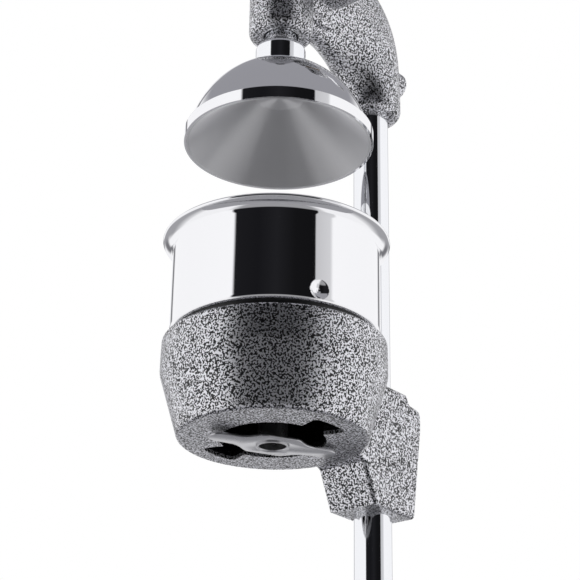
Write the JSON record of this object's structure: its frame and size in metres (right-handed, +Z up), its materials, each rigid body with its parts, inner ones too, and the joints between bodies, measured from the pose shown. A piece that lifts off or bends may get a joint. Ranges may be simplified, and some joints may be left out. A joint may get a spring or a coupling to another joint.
{
  "type": "lever citrus juice press",
  "caption": "Hand press for citrus fruit: a lever and rack push a dome down onto a strainer cone in a twist-lock bowl above a glass.",
  "frame": {"origin": "on the table plane, straight below the axis on which the dome moves", "axes": "+Z up along the column and the dome's travel, -Y the front where the user stands, +X the lever side"},
  "size_m": [0.184, 0.3398, 0.7797],
  "materials": {
    "speckled_casting": "vermicular two-tone powder coat, silver worms on near-black",
    "black_rubber": "moulded, matt",
    "chromed_steel": "bright chrome plate",
    "polished_steel": "mirror-polished stainless sheet",
    "satin_steel": "satin",
    "zinc_steel": "zinc plated",
    "blackened_steel": "blackened",
    "turned_aluminium": "turned, with fine rings",
    "bronze": "sintered",
    "cut_steel": "hobbed and oiled",
    "black_plastic": "moulded, half gloss"
  },
  "bodies": {
    "frame": {"base_casting": "speckled_casting", "base_edging": "black_rubber", "column": "chromed_steel", "column_washer": "zinc_steel", "column_bolt": "zinc_steel", "bowl_holder": "speckled_casting", "holder_set_screws": "blackened_steel", "head_casting": "speckled_casting", "head_set_screw": "blackened_steel", "gear_cover": "speckled_casting", "gear_cover_screws": "zinc_steel", "shaft_bushes": "bronze"},
    "bowl_unit": {"bowl": "polished_steel", "bowl_seat_ring": "black_rubber", "outlet_tube": "satin_steel", "wing_plate": "satin_steel", "strainer": "polished_steel"},
    "press_unit": {"press_dome": "polished_steel", "press_cone": "turned_aluminium", "press_collar": "chromed_steel", "press_rack": "chromed_steel", "rack_stop": "black_plastic", "rack_stop_screw": "zinc_steel"},
    "lever_unit": {"pinion": "cut_steel", "pinion_key": "cut_steel", "pinion_shaft": "cut_steel", "shaft_clip": "blackened_steel", "lever_hub": "speckled_casting", "hub_set_screw": "blackened_steel", "shaft_cap": "chromed_steel", "lever_rod": "chromed_steel", "lever_ferrule": "chromed_steel", "lever_grip": "black_plastic"}
  },
  "joints": [
    {"name": "lever_swing", "type": "hinge", "parent": "frame", "child": "lever_unit", "pos_m": [0, 0.03, 0.5945], "axis": [1, 0, 0], "range_deg": [0, 185]},
    {"name": "press_slide", "type": "slide", "parent": "frame", "child": "press_unit", "axis": [0, 0, -1], "range_m": [0, 0.08082]},
    {"name": "bowl_twist", "type": "hinge", "parent": "frame", "child": "bowl_unit", "pos_m": [0, 0, 0.31], "axis": [0, 0, 1], "range_deg": [-63, 0]}
  ],
  "couplings": [
    {"joint": "press_slide", "follows": "lever_swing", "m_per_rad": 0.025}
  ]
}
